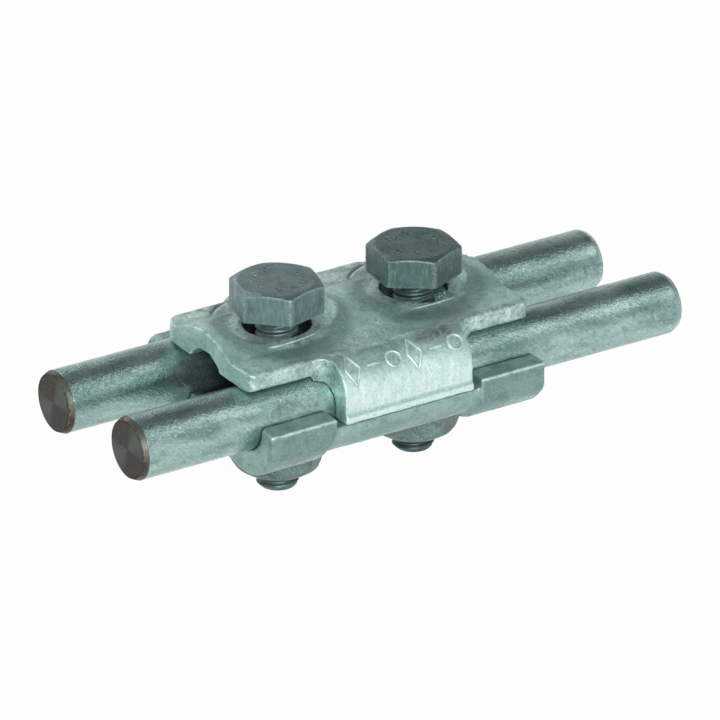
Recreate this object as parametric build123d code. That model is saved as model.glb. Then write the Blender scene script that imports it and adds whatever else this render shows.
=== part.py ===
from build123d import *
import os
from math import cos, radians, tan

# A parallel groove clamp for two round conductors. The lower clamp is a cast
# tray with a round belly under each conductor, and its four hooks stand
# outside the conductors near its ends. The upper
# clamp is a cast cap whose two skirts reach down outside them in the middle.
# Two hexagon bolts pass through both castings into hexagon nuts below.
#
# Millimetres, +Z up. X runs along the conductors and Y runs across them.
# X = Y = 0 is midway between the bolts and Z = 0 is at the bolts' lower ends.

# ---- Conductors
ROD_D = 10.0
ROD_LENGTH = 98.5
ROD_PITCH = 20.0            # between the two conductors' axes
ROD_CHAMFER = 0.5
FRONT_ROD_OFFSET = 3.9      # middle of each conductor along X
REAR_ROD_OFFSET = 2.9
GROOVE_CLEARANCE = 0.1      # radial, between conductor and groove

# ---- Bolts and nuts
BOLT_PITCH = 25.0
THREAD_D = 8.0
BOLT_LENGTH = 29.2          # under the head to the end
BOLT_END_CHAMFER = 0.75
HEX_WIDTH = 13.0            # across flats, head and nut
HEAD_HEIGHT = 5.3
HEAD_CROWN_D = 12.2         # flat on top of the head, inside its chamfer
HEAD_CHAMFER_ANGLE = 30.0
WASHER_FACE_D = 11.8
WASHER_FACE_HEIGHT = 0.35
NUT_HEIGHT = 6.0
NUT_FACE_D = 10.6           # flat at the nut's rounded lower end
NUT_ROUND_HEIGHT = 2.3
NUT_SHOULDER_D = 13.2       # where the rounded end's slope steepens
NUT_SHOULDER_HEIGHT = 0.85
THREAD_CLEARANCE = 0.05     # radial, between nut bore and bolt
THREAD_STICKOUT = 2.9       # bolt end below the nut
SEAT_CLEARANCE = 0.05       # nut below the lower clamp
HEAD_TURNS = {"left": 14.5, "right": 23.4}      # degrees, one corner about Z
NUT_TURNS = {"left": -17.6, "right": -28.5}

# ---- Lower clamp
LOWER_LENGTH = 49.8
SIDE_WALL = 3.0             # casting outside each conductor
LOWER_DEPTH = 9.4           # conductor axis to the nuts' pads
HOOK_BELLY_R = 9.1          # about each conductor, below the hooks
MIDDLE_BELLY_R = 8.3        # and between them
MIDDLE_INSET = 0.5          # side wall between the hooks, inside their faces
VALLEY_DEPTH = 8.4          # conductor axis to the underside between the bellies
NUT_PAD_D = 15.4
WEB_DROP = 2.0              # web between the grooves, below the axis
LOWER_HOLE_D = 9.2
HOOK_GAP = 26.4             # free length between the end hooks
FRONT_HOOK_RISE = 0.3       # hook tops above the conductor axis
FRONT_HOOK_FALL = 0.6       # outward slope of the front hook tops
REAR_HOOK_RISE = 2.7
FRONT_HOOK_R = 0.9
REAR_HOOK_R = 1.8
HOOK_ROOT_R = 0.8

# ---- Upper clamp
CAP_LENGTH = 51.0
CAP_TOP = 8.0               # wing top above the conductor axis
WING_WIDTH = 25.8
WING_EDGE_R = 0.7
FRONT_CORNER_R = 1.6
REAR_CORNER_R = 4.0
SKIRT_LENGTH = 23.2
SKIRT_INSET = 0.1           # skirt face inside the hooks' faces
SKIRT_SHOULDER_R = 5.4
SKIRT_DROP = 1.5            # skirt edge below the conductor axis
SKIRT_GAP = 0.4             # below the skirt edge, to the lower wall
SKIRT_ROOT_R = 2.5          # where a skirt leaves the wings, in plan
BEAD_HEIGHT = 1.2
BEAD_PROUD = 0.35
RIDGE_REAR = 8.6            # foot of the ridge behind the middle
RIDGE_FRONT = {"left": 7.6, "right": 5.6}       # and in front, at the cap's ends
RIDGE_RISE = {"left": 2.4, "right": 1.5}        # crest above the wings
RIDGE_CREST_Y = 1.0
RIDGE_ROOT = 1.0            # depth that the ridge reaches into the wings
ARCH_WIDTH = 8.4            # arched hollow under the ridge
ARCH_RISE = 2.3
SEAT_D = 15.8               # flat under each bolt head
SEAT_RISE = 0.8             # above the wings
DISH_D = 21.0               # sloping rim where a seat is sunk in the ridge
DISH_DEPTH = 1.3
CAP_HOLE_D = 10.6

# ---- Heights and places that follow from the sizes above
GROOVE_R = ROD_D / 2 + GROOVE_CLEARANCE
NUT_BOTTOM = THREAD_STICKOUT
LOWER_BOTTOM = NUT_BOTTOM + NUT_HEIGHT + SEAT_CLEARANCE
AXIS_Z = LOWER_BOTTOM + LOWER_DEPTH
GROOVE_Y = ROD_PITCH / 2
LOWER_WIDTH = 2 * (GROOVE_Y + GROOVE_R + SIDE_WALL)
SKIRT_WIDTH = LOWER_WIDTH - 2 * SKIRT_INSET
BOLT_X = {"left": -BOLT_PITCH / 2, "right": BOLT_PITCH / 2}
TALL = AXIS_Z + BOLT_LENGTH     # longer than any cut has to be


def block(y_min, y_max, z_min, z_max):
    """A rectangle in the cross-section, from its limits."""
    size = Rectangle(y_max - y_min, z_max - z_min, align=(Align.MIN, Align.MIN))
    return Pos(y_min, z_min) * size


def grooves():
    """Both conductor grooves in the cross-section, about the axes."""
    return [Pos(side * GROOVE_Y, 0) * Circle(GROOVE_R) for side in (-1, 1)]


def along(section, length):
    """A cross-section drawn in Y and Z, drawn out evenly along X."""
    return extrude(Plane.YZ * section, length / 2, both=True)


def bolt_holes(diameter):
    """Two upright cylinders at the bolts, through both castings."""
    tool = Cylinder(diameter / 2, 2 * TALL)
    return [Pos(x, 0, 0) * tool for x in BOLT_X.values()]


def rod(offset, side):
    """One conductor, with chamfered ends."""
    bar = Cylinder(ROD_D / 2, ROD_LENGTH)
    bar = chamfer(bar.edges().filter_by(GeomType.CIRCLE), ROD_CHAMFER)
    return Pos(offset, side * GROOVE_Y, AXIS_Z) * Rot(0, 90, 0) * bar


def hexagon(turn, height):
    """A hexagonal prism on Z = 0 with one corner at the given angle."""
    corner_r = HEX_WIDTH / 2 / cos(radians(30))
    return extrude(RegularPolygon(corner_r, 6, rotation=turn), height)


def head(turn):
    """The hexagon head, chamfered on top, with its washer face below."""
    crown_r = HEAD_CROWN_D / 2
    corner_r = HEX_WIDTH / 2 / cos(radians(30))
    fall = (corner_r - crown_r) * tan(radians(HEAD_CHAMFER_ANGLE))
    outline = Polyline(
        (0, 0), (corner_r, 0), (corner_r, HEAD_HEIGHT - fall), (crown_r, HEAD_HEIGHT), (0, HEAD_HEIGHT), (0, 0)
    )
    turned = revolve(Plane.XZ * make_face(outline), Axis.Z)
    prism = hexagon(turn, HEAD_HEIGHT) & turned
    prism -= extrude(Circle(corner_r + 1) - Circle(WASHER_FACE_D / 2), WASHER_FACE_HEIGHT)
    return prism


def bolt(side):
    """A hexagon bolt standing on its end, thread drawn at its full diameter."""
    shank = Pos(0, 0, BOLT_LENGTH / 2) * Cylinder(THREAD_D / 2, BOLT_LENGTH)
    end = shank.edges().filter_by(GeomType.CIRCLE).sort_by(Axis.Z)[0]
    shank = chamfer(end, BOLT_END_CHAMFER)
    whole = shank + Pos(0, 0, BOLT_LENGTH) * head(HEAD_TURNS[side])
    return Pos(BOLT_X[side], 0, 0) * whole


def nut(side):
    """A hexagon nut whose lower end is rounded into its flats."""
    corner_r = HEX_WIDTH / 2 / cos(radians(30))
    face_r = NUT_FACE_D / 2
    fall = (corner_r - HEAD_CROWN_D / 2) * tan(radians(HEAD_CHAMFER_ANGLE))
    outline = Polyline(
        (0, 0), (face_r, 0), (NUT_SHOULDER_D / 2, NUT_SHOULDER_HEIGHT), (corner_r, NUT_ROUND_HEIGHT),
        (corner_r, NUT_HEIGHT - fall), (HEAD_CROWN_D / 2, NUT_HEIGHT), (0, NUT_HEIGHT), (0, 0)
    )
    turned = revolve(Plane.XZ * make_face(outline), Axis.Z)
    body = hexagon(NUT_TURNS[side], NUT_HEIGHT) & turned
    body -= Cylinder(THREAD_D / 2 + THREAD_CLEARANCE, TALL)
    return Pos(BOLT_X[side], 0, NUT_BOTTOM) * body


def tray_section(side, belly_r):
    """Lower clamp across the conductors, with Z = 0 on their axes."""
    wall = GROOVE_Y + GROOVE_R
    outline = Polyline(
        (-side, -LOWER_DEPTH), (-side, FRONT_HOOK_RISE - FRONT_HOOK_FALL), (-wall, FRONT_HOOK_RISE),
        (wall, FRONT_HOOK_RISE), (wall, REAR_HOOK_RISE), (side, REAR_HOOK_RISE), (side, -LOWER_DEPTH), close=True
    )
    bellies = [Pos(end * GROOVE_Y, 0) * Circle(belly_r) for end in (-1, 1)]
    section = block(-GROOVE_Y, GROOVE_Y, -VALLEY_DEPTH, 0) + bellies
    section &= make_face(outline)
    section -= grooves()
    section -= block(-wall, wall, 0, REAR_HOOK_RISE)
    section -= block(-GROOVE_Y, GROOVE_Y, -WEB_DROP, REAR_HOOK_RISE)
    return section


def hook_outline(rise, corner_r):
    """Side view of a long wall: two end hooks with a low stretch between."""
    wall = Rectangle(LOWER_LENGTH, LOWER_DEPTH + rise, align=(Align.CENTER, Align.MIN))
    wall = Pos(0, -LOWER_DEPTH) * wall
    low = SKIRT_DROP + SKIRT_GAP
    wall -= Pos(0, -low) * Rectangle(HOOK_GAP, low + rise, align=(Align.CENTER, Align.MIN))
    tops = wall.vertices().filter_by(lambda v: v.Y > 0)
    wall = fillet(tops, corner_r)
    roots = wall.vertices().filter_by(lambda v: abs(v.Y + low) < 0.01)
    return fillet(roots, HOOK_ROOT_R)


def lower_clamp():
    """The lower casting: two grooves in a tray, end hooks, pads, two bolt holes."""
    middle = Box(HOOK_GAP, 2 * LOWER_WIDTH, 2 * TALL)
    ends = along(tray_section(LOWER_WIDTH / 2, HOOK_BELLY_R), LOWER_LENGTH) - middle
    body = ends + along(tray_section(LOWER_WIDTH / 2 - MIDDLE_INSET, MIDDLE_BELLY_R), HOOK_GAP)
    front = extrude(Plane.XZ * hook_outline(FRONT_HOOK_RISE, FRONT_HOOK_R), LOWER_WIDTH)
    rear = extrude(Plane.XZ * hook_outline(REAR_HOOK_RISE, REAR_HOOK_R), -LOWER_WIDTH)
    body &= front + rear
    pad = Cylinder(NUT_PAD_D / 2, LOWER_DEPTH - GROOVE_R, align=(Align.CENTER, Align.CENTER, Align.MIN))
    body += [Pos(x, 0, -LOWER_DEPTH) * pad for x in BOLT_X.values()]
    body = Pos(0, 0, AXIS_Z) * body
    return body - bolt_holes(LOWER_HOLE_D)


def ridge_end(side):
    """Outline of the ridge at one end of the cap, as a face standing there."""
    front = -RIDGE_FRONT[side]
    foot = CAP_TOP - RIDGE_ROOT
    crown = ThreePointArc((front, CAP_TOP), (RIDGE_CREST_Y, CAP_TOP + RIDGE_RISE[side]), (RIDGE_REAR, CAP_TOP))
    base = Polyline((RIDGE_REAR, CAP_TOP), (RIDGE_REAR, foot), (front, foot), (front, CAP_TOP))
    end_x = CAP_LENGTH / 2 if side == "right" else -CAP_LENGTH / 2
    return Plane.YZ.offset(end_x) * make_face([crown, base])


def ridge():
    """Round ridge along the cap, taller and broader at its left end."""
    return loft([ridge_end("left"), ridge_end("right")], ruled=True)


def arch_section():
    """Arched hollow under the ridge, between the conductors."""
    half = ARCH_WIDTH / 2
    roof = ThreePointArc((-half, GROOVE_R), (0, GROOVE_R + ARCH_RISE), (half, GROOVE_R))
    return make_face([roof, Line((half, GROOVE_R), (-half, GROOVE_R))])


def wing_section():
    """Cap beyond its skirts: a plate that rests on both conductors."""
    plate = block(-WING_WIDTH / 2, WING_WIDTH / 2, GROOVE_R, CAP_TOP)
    return fillet(plate.vertices(), WING_EDGE_R)


def skirt_section():
    """Cap at its skirts, which reach round the outside of both conductors."""
    side = SKIRT_WIDTH / 2
    wall = GROOVE_Y + GROOVE_R
    plate = block(-side, side, -SKIRT_DROP, CAP_TOP)
    shoulders = plate.vertices().filter_by(lambda v: v.Y > 0)
    plate = fillet(shoulders, SKIRT_SHOULDER_R)
    plate += block(-side - BEAD_PROUD, side + BEAD_PROUD, -SKIRT_DROP, BEAD_HEIGHT - SKIRT_DROP)
    plate -= grooves()
    plate -= block(-wall, wall, -SKIRT_DROP, 0)
    return plate - block(-GROOVE_Y, GROOVE_Y, 0, GROOVE_R)


def wing_plan():
    """The wings seen from above, with softer corners at the rear."""
    plan = Rectangle(CAP_LENGTH, WING_WIDTH)
    plan = fillet(plan.vertices().filter_by(lambda v: v.Y < 0), FRONT_CORNER_R)
    return fillet(plan.vertices().filter_by(lambda v: v.Y > 0), REAR_CORNER_R)


def skirt_plan():
    """The skirts seen from above, widening in an arc where they meet the wings."""
    cross = Rectangle(CAP_LENGTH, WING_WIDTH) + Rectangle(SKIRT_LENGTH, SKIRT_WIDTH * 2)
    inner = cross.vertices().filter_by(lambda v: abs(v.X) < CAP_LENGTH / 2 - 1 and abs(v.Y) < SKIRT_WIDTH - 1)
    cross = fillet(inner, SKIRT_ROOT_R)
    return cross & Rectangle(SKIRT_LENGTH + 2 * SKIRT_ROOT_R, SKIRT_WIDTH * 2)


def bolt_seat():
    """Cutter for a flat seat with a sloping rim, standing on Z = 0."""
    upright = (Align.CENTER, Align.CENTER, Align.MIN)
    rim = Cone(SEAT_D / 2, DISH_D / 2, DISH_DEPTH, align=upright)
    return rim + Pos(0, 0, DISH_DEPTH) * Cylinder(DISH_D / 2, TALL, align=upright)


def upper_clamp():
    """The upper casting: wings, skirts, ridge, bolt seats and bolt holes."""
    wings = along(wing_section(), CAP_LENGTH) & extrude(wing_plan(), TALL)
    skirts = along(skirt_section(), CAP_LENGTH) & extrude(skirt_plan(), TALL, both=True)
    body = wings + skirts + ridge() - along(arch_section(), CAP_LENGTH)
    body -= [Pos(x, 0, CAP_TOP + SEAT_RISE) * bolt_seat() for x in BOLT_X.values()]
    body = Pos(0, 0, AXIS_Z) * body
    return body - bolt_holes(CAP_HOLE_D)


def parts():
    """Every piece by its name."""
    pieces = {
        "lower_clamp": lower_clamp(),
        "upper_clamp": upper_clamp(),
        "front_conductor": rod(FRONT_ROD_OFFSET, -1),
        "rear_conductor": rod(REAR_ROD_OFFSET, 1),
    }
    for side in BOLT_X:
        pieces[side + "_bolt"] = bolt(side)
        pieces[side + "_nut"] = nut(side)
    return pieces


os.makedirs("parts", exist_ok=True)
for name, piece in parts().items():
    piece.label = name
    export_step(piece, f"parts/{name}.step")
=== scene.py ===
import math

import bmesh
import bpy
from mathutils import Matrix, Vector


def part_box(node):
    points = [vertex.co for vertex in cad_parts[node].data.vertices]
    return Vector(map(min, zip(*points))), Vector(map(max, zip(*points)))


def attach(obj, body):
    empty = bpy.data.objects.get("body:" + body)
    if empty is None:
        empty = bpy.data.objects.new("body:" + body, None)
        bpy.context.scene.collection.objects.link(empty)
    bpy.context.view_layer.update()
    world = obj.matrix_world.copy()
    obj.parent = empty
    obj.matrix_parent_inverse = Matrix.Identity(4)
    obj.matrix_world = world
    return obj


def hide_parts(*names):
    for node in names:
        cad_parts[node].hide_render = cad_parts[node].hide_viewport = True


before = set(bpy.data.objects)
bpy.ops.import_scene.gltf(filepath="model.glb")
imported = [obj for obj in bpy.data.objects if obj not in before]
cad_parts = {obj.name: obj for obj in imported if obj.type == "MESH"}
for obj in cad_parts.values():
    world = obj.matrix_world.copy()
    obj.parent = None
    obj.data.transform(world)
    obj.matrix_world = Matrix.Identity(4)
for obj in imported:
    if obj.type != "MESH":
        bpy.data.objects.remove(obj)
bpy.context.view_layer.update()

# The dressed parallel groove clamp: zinc-coated castings, threaded bolts and nuts and two
# sample conductors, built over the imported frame. Metres, with sizes written in millimetres.
MM = 0.001

# ---- Threads
THREAD_PITCH = 1.25 * MM
THREAD_DEPTH = 0.5 * MM
THREAD_R = 3.9 * MM
THREAD_NECK = 0.55 * MM         # how much the thread is worn down outside the nut
THREAD_RUN_OUT = 0.8 * MM       # length over which that wear sets in
THREAD_FLANKS = (0.07, 0.44)    # start and end of a flank, in turns from the crest
THREAD_ROWS = 10.0              # of vertices in each turn
END_CHAMFER = 0.6 * MM
NUT_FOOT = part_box("left_nut")[0][2]
NUT_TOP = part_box("left_nut")[1][2]

# ---- Castings, with heights above the conductors' axes
SHOULDER_R = 5.4 * MM
SHOULDER_Y = -12.6 * MM         # axis of the front shoulder's round
SHOULDER_RISE = 2.6 * MM
SKIRT_HALF = 11.6 * MM          # half the skirts' length
SEAT_RISE = 8.8 * MM
BEAD_TOP = -0.15 * MM           # of the bead along each skirt's edge
BEAD_WIDTH = 1.5 * MM
HOOK_SIDE = 18.1 * MM           # hooks' faces, from the middle
HOOK_EDGE = {"front": -0.3 * MM, "rear": 2.7 * MM}      # hooks' outer top edges
HOOK_INNER = 13.2 * MM          # inner sides of the hooks along X
HOOK_SLOPE = 0.36               # how far the front left hook's inner side slopes for each length down
HOOK_FLARE = 0.3 * MM           # how far its top stands out
HOOK_FOOT = 5 * MM              # depth at which the slope ends
BELLY_R = 9.1 * MM              # tray's round bellies, about the conductors

# ---- Conductors' ends
ROD_CHAMFER = 0.42 * MM
ROD_BEVEL = 0.85 * MM           # length of the bevel
BEVEL_IN_ZINC = 0.9             # share of the right ends' bevel that keeps the bar's zinc

# ---- Raised marks, lips and tool scars
MARK_PITCH = 3.72 * MM
MARK_START = -9.35 * MM
MARK_CENTRE = 4.15 * MM         # down the shoulder's round from its top
HEAD_RING_R = 4.0 * MM
LIPS = {
    "left": ((-7.2, -6.1, 8.32), (-1.5, -7.3, 8.62), (3.2, -6.2, 8.72)),
    "right": ((-7.0, -5.3, 8.05), (-1.0, -6.3, 8.12), (3.8, -5.7, 8.22)),
}                               # millimetres from each bolt's axis at the conductors' height
LIP_POINTS = ("Start", "Middle", "End")
LIP_R = 0.19 * MM
SCAR_PLACE = (-0.3 * MM, 5.6 * MM)      # centre of each scar's arc, from its bolt
SCAR_R = 6.85 * MM
SCAR_WIDTH = 0.45 * MM
SCAR_DEPTH = 0.35 * MM
SCAR_TURN = (94.0, 148.0)       # degrees about that centre

# ---- Where the colours change, painted highlights and shade among them, in from and out to the full colour
WING_FACE_Y = (12.1 * MM, 12.7 * MM, 13.1 * MM, 13.6 * MM)
WING_FACE_RISE = (4.8 * MM, 5.4 * MM)
REAR_WING_Y = (8.6 * MM, 10.5 * MM)
SHOULDER_MIDDLE = 13.4 * MM
SHOULDER_REACH = (2.2 * MM, 0.8 * MM)
SKIRT_FACE_Y = (16.6 * MM, 18.0 * MM)
SEAT_REACH = (10.5 * MM, 6.5 * MM)
DISH_RIM = (7.2 * MM, 8.4 * MM, 10.6 * MM, 12.0 * MM)
HOLE_WALL = (5.55 * MM, 5.35 * MM)
RUST_PLACE = (7.0 * MM, -14.2 * MM, 7.6 * MM)
RUST_REACH = (2.1 * MM, 0.4 * MM)
WEB_X = (24.6 * MM, 23.0 * MM)
WEB_Y = (6.0 * MM, 4.8 * MM)
WEB_Z = (9 * MM, 11 * MM)
HOOK_FACE_X = (13.0 * MM, 13.6 * MM)
HOOK_FACE_Y = (16.6 * MM, 17.9 * MM)
HOOK_FACE_RISE = (-0.3 * MM, -1.0 * MM)
CUT_BEVEL = (4.50 * MM, 4.62 * MM)

# ---- Grain of the pieces' meshes
CAST_VOXEL = 0.25 * MM
HEX_VOXEL = 0.16 * MM
ROD_STEP = 0.3 * MM
THREAD_SIDES = 64
ROD_SIDES = 112

SEEDS = {"lower": 3.1, "upper": 7.4, "left": 11.7, "right": 23.9, "front": 31.3, "rear": 47.6}


def middle(node):
    """Centre of a CAD node's box."""
    low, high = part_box(node)
    return (Vector(low) + Vector(high)) / 2


AXIS_Z = middle("front_conductor").z
ROD_SIDE = middle("rear_conductor").y
ROD_FRONT = middle("front_conductor").y
BOLT_X = {side: middle(side + "_bolt").x for side in ("left", "right")}

# ---- Bolt heads
HEAD_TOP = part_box("left_bolt")[1][2]
HEAD_HEIGHT = 5.3 * MM
HEAD_FOOT = HEAD_TOP - HEAD_HEIGHT + 0.35 * MM      # lower end of the flats
CORNER_R = 6.5 * MM / math.cos(math.radians(30))
CROWN_FALL = 1.6 * MM           # the crown's chamfer reaches no lower than this
CROWN_WEAR = 0.6                # share of its fall that is left after the zinc bath
CROWN_R = 6.1 * MM
CROWN_SLOPE = CROWN_WEAR * math.tan(math.radians(30))


# ------------------------------------------------------------------ node helpers
def feed(tree, node, feeds):
    """Feeds a node's inputs with values or with outputs."""
    for key, value in feeds.items():
        if isinstance(value, bpy.types.NodeSocket):
            tree.links.new(value, node.inputs[key])
        else:
            node.inputs[key].default_value = value


def put(tree, kind, feeds=None, **settings):
    """Adds a node, applies its settings and feeds its inputs."""
    node = tree.nodes.new(kind)
    for key, value in settings.items():
        setattr(node, key, value)
    feed(tree, node, feeds or {})
    return node


def sum_of(tree, operation, first, second=0.0, third=0.0):
    """Output of one Math node."""
    kind = "ShaderNodeMath"
    return put(tree, kind, {0: first, 1: second, 2: third}, operation=operation).outputs[0]


def noise(tree, place, size, detail=3.0, roughness=0.55, seed=0.0):
    """Noise from 0 to 1 whose features measure about size metres."""
    feeds = {"Vector": place, "Scale": 1.0 / size, "Detail": detail, "Roughness": roughness, "W": seed}
    return put(tree, "ShaderNodeTexNoise", feeds, noise_dimensions="4D").outputs[0]


def remap(tree, value, low, high, out_low=0.0, out_high=1.0):
    """Stretches one range onto another, clamped."""
    feeds = {0: value, 1: low, 2: high, 3: out_low, 4: out_high}
    return put(tree, "ShaderNodeMapRange", feeds, clamp=True).outputs[0]


def tint(tree, factor, first, second):
    """Mixes two colours."""
    feeds = {0: factor, 6: first, 7: second}
    return put(tree, "ShaderNodeMix", feeds, data_type="RGBA").outputs[2]


def new_material(name):
    """An empty node material with a Principled shader; returns material, tree and shader."""
    material = bpy.data.materials.new(name)
    material.use_nodes = True
    tree = material.node_tree
    tree.nodes.clear()
    shader = put(tree, "ShaderNodeBsdfPrincipled")
    put(tree, "ShaderNodeOutputMaterial", {"Surface": shader.outputs[0]})
    return material, tree, shader


def bump(tree, height, distance, strength=1.0, below=None):
    """A Bump node over a height from 0 to 1."""
    feeds = {"Height": height, "Distance": distance, "Strength": strength}
    if below:
        feeds["Normal"] = below
    return put(tree, "ShaderNodeBump", feeds).outputs[0]


def rgb(red, green, blue):
    """A linear colour with full alpha."""
    return (red, green, blue, 1.0)


# ------------------------------------------------------------------ finishes
CAP_TONES = (rgb(0.115, 0.202, 0.188), rgb(0.265, 0.422, 0.398), rgb(0.450, 0.645, 0.618))
TRAY_TONES = (rgb(0.085, 0.155, 0.144), rgb(0.190, 0.305, 0.287), rgb(0.335, 0.490, 0.466))
BAR_TONES = (rgb(0.064, 0.128, 0.116), rgb(0.185, 0.305, 0.281), rgb(0.400, 0.560, 0.535))
NUT_TONES = (rgb(0.042, 0.075, 0.070), rgb(0.082, 0.134, 0.125), rgb(0.160, 0.240, 0.226))
LEFT_BOLT_TONES = (rgb(0.085, 0.132, 0.135), rgb(0.155, 0.232, 0.236), rgb(0.310, 0.415, 0.424))
RIGHT_BOLT_TONES = (rgb(0.048, 0.084, 0.083), rgb(0.092, 0.150, 0.148), rgb(0.215, 0.300, 0.298))
ZINC_BRIGHT = rgb(0.620, 0.755, 0.732)
CUT_STEEL = rgb(0.032, 0.029, 0.021)
CUT_COOL = rgb(0.075, 0.090, 0.080)
CUT_LIGHT = rgb(0.150, 0.135, 0.115)
STAIN = rgb(0.120, 0.118, 0.080)
# Near-black used as painted shade inside the bolt holes and on the tray's web between the bars.
PAINTED_SHADE = rgb(0.018, 0.028, 0.026)
RUBBED_TONES = (rgb(0.300, 0.400, 0.385), rgb(0.560, 0.690, 0.668), rgb(0.700, 0.840, 0.815))


def distance_from(tree, place, point, stretch=(1.0, 1.0, 1.0)):
    """Distance of the surface from a point, with each direction stretched."""
    away = put(tree, "ShaderNodeVectorMath", {0: place, 1: point}, operation="SUBTRACT").outputs[0]
    away = put(tree, "ShaderNodeVectorMath", {0: away, 1: stretch}, operation="MULTIPLY").outputs[0]
    return put(tree, "ShaderNodeVectorMath", {0: away}, operation="LENGTH").outputs["Value"]


def both(tree, first, second):
    """Product of two masks."""
    return sum_of(tree, "MULTIPLY", first, second)


def band(tree, value, steps):
    """Rises from 0 to 1 over the first two steps and falls back over the last two."""
    return both(tree, remap(tree, value, steps[0], steps[1]), remap(tree, value, steps[3], steps[2]))


def split_place(tree, place):
    """Distance from the middle along X and along Y, and the signed X, Y and Z."""
    split = put(tree, "ShaderNodeSeparateXYZ", {0: place}).outputs
    return sum_of(tree, "ABSOLUTE", split[0]), sum_of(tree, "ABSOLUTE", split[1]), split


def skirt_mask(tree, along, outward):
    """1 on the skirts' outer faces and lower shoulders, 0 elsewhere."""
    ends = remap(tree, along, SKIRT_HALF + 0.3 * MM, SKIRT_HALF - 0.5 * MM)
    return both(tree, ends, remap(tree, outward, *SKIRT_FACE_Y))


def near_line(tree, place, side, rise, reach):
    """1 along an edge that runs with the conductors, 0 beyond reach of it."""
    split = put(tree, "ShaderNodeSeparateXYZ", {0: place})
    across = sum_of(tree, "SUBTRACT", split.outputs[1], side)
    over = sum_of(tree, "SUBTRACT", split.outputs[2], rise)
    away = sum_of(tree, "SQRT", sum_of(tree, "MULTIPLY_ADD", across, across, both(tree, over, over)))
    return remap(tree, away, reach, 0.4 * reach)


def scar_mask(tree, place, x):
    """1 along the thin arc that a tool left on the rear wing beside one bolt."""
    centre = (x + SCAR_PLACE[0], SCAR_PLACE[1], 0.0)
    away = distance_from(tree, place, centre, (1.0, 1.0, 0.0))
    off = sum_of(tree, "ABSOLUTE", sum_of(tree, "SUBTRACT", away, SCAR_R))
    split = put(tree, "ShaderNodeSeparateXYZ", {0: place})
    started = remap(tree, split.outputs[0], centre[0] - 0.3 * MM, centre[0] - 1.6 * MM)
    ended = remap(tree, split.outputs[1], SCAR_PLACE[1] + 3.2 * MM, SCAR_PLACE[1] + 4.4 * MM)
    return both(tree, remap(tree, off, 0.42 * MM, 0.12 * MM), both(tree, started, ended))


def cap_wear(tree, place, colour, mottle, grain, dark, mid):
    """The cap's bright skirts, painted highlights on its wings and beads, painted shade on its shoulders, bead
    creases, dish rims and holes, darker seats, scars and spot of rust.
    """
    upright = put(tree, "ShaderNodeMapping", {"Vector": place, "Scale": (1.0, 0.45, 0.3)}).outputs[0]
    streak = noise(tree, upright, 0.8 * MM, 4.0, 0.65, 6.0)
    along, outward, split = split_place(tree, place)
    skirt = both(tree, skirt_mask(tree, along, outward), remap(tree, streak, 0.30, 0.60, 0.3, 1.0))
    colour = tint(tree, skirt, colour, ZINC_BRIGHT)
    for y in (-HOOK_SIDE, HOOK_SIDE):
        # Painted shade in the crease above each skirt's bead, broken by the mottle.
        groove = near_line(tree, place, y, AXIS_Z + BEAD_TOP, 0.5 * MM)
        groove = both(tree, groove, remap(tree, mottle, 0.30, 0.55, 0.35, 0.8))
        colour = tint(tree, groove, colour, mid)
        # Painted highlight along each bead, broken by the grain.
        bead = near_line(tree, place, y, AXIS_Z + BEAD_TOP - BEAD_WIDTH / 2, 0.5 * MM)
        bead = both(tree, bead, remap(tree, grain, 0.38, 0.56, 0.2, 0.9))
        colour = tint(tree, bead, colour, ZINC_BRIGHT)
    # Painted highlight on the front wing's front face, broken by the grain.
    low, high = WING_FACE_RISE
    wing_face_highlight = both(tree, band(tree, outward, WING_FACE_Y), remap(tree, split[2], AXIS_Z + low, AXIS_Z + high))
    wing_face_highlight = both(tree, wing_face_highlight, remap(tree, grain, 0.34, 0.56, 0.35, 1.0))
    colour = tint(tree, wing_face_highlight, colour, ZINC_BRIGHT)
    # Painted highlight over the rear wing's top, broken by the mottle.
    rear_wing_highlight = both(tree, remap(tree, split[1], *REAR_WING_Y, 0.0, 0.85), remap(tree, mottle, 0.36, 0.60))
    colour = tint(tree, rear_wing_highlight, colour, ZINC_BRIGHT)
    # Painted shade along the middle of the shoulders' round, broken by the mottle.
    off_shoulder = sum_of(tree, "ABSOLUTE", sum_of(tree, "SUBTRACT", outward, SHOULDER_MIDDLE))
    shoulder_shade = both(tree, remap(tree, off_shoulder, *SHOULDER_REACH), remap(tree, mottle, 0.58, 0.38, 0.2, 0.75))
    colour = tint(tree, shoulder_shade, colour, dark)
    for x in BOLT_X.values():
        # Darker round each bolt's seat, under its head, broken by the mottle.
        seat_darkening = remap(tree, distance_from(tree, place, (x, 0, AXIS_Z + SEAT_RISE)), *SEAT_REACH)
        colour = tint(tree, both(tree, seat_darkening, remap(tree, mottle, 0.48, 0.62, 0.0, 0.85)), colour, dark)
        colour = tint(tree, both(tree, scar_mask(tree, place, x), 0.9), colour, STAIN)
        reach = distance_from(tree, place, (x, 0.0, 0.0), (1.0, 1.0, 0.0))
        # Painted shade over the dished seat's rim, to tone down the lighter arc where it faces the light.
        colour = tint(tree, both(tree, band(tree, reach, DISH_RIM), 0.55), colour, dark)
        # Painted shade: the hole walls go near-black.
        colour = tint(tree, remap(tree, reach, *HOLE_WALL, 0.0, 0.95), colour, PAINTED_SHADE)
    spot = (RUST_PLACE[0], RUST_PLACE[1], AXIS_Z + RUST_PLACE[2])
    rust = remap(tree, distance_from(tree, place, spot, (0.45, 1.0, 1.0)), *RUST_REACH, 0.0, 0.8)
    return tint(tree, both(tree, rust, remap(tree, grain, 0.35, 0.6)), colour, STAIN)


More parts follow.
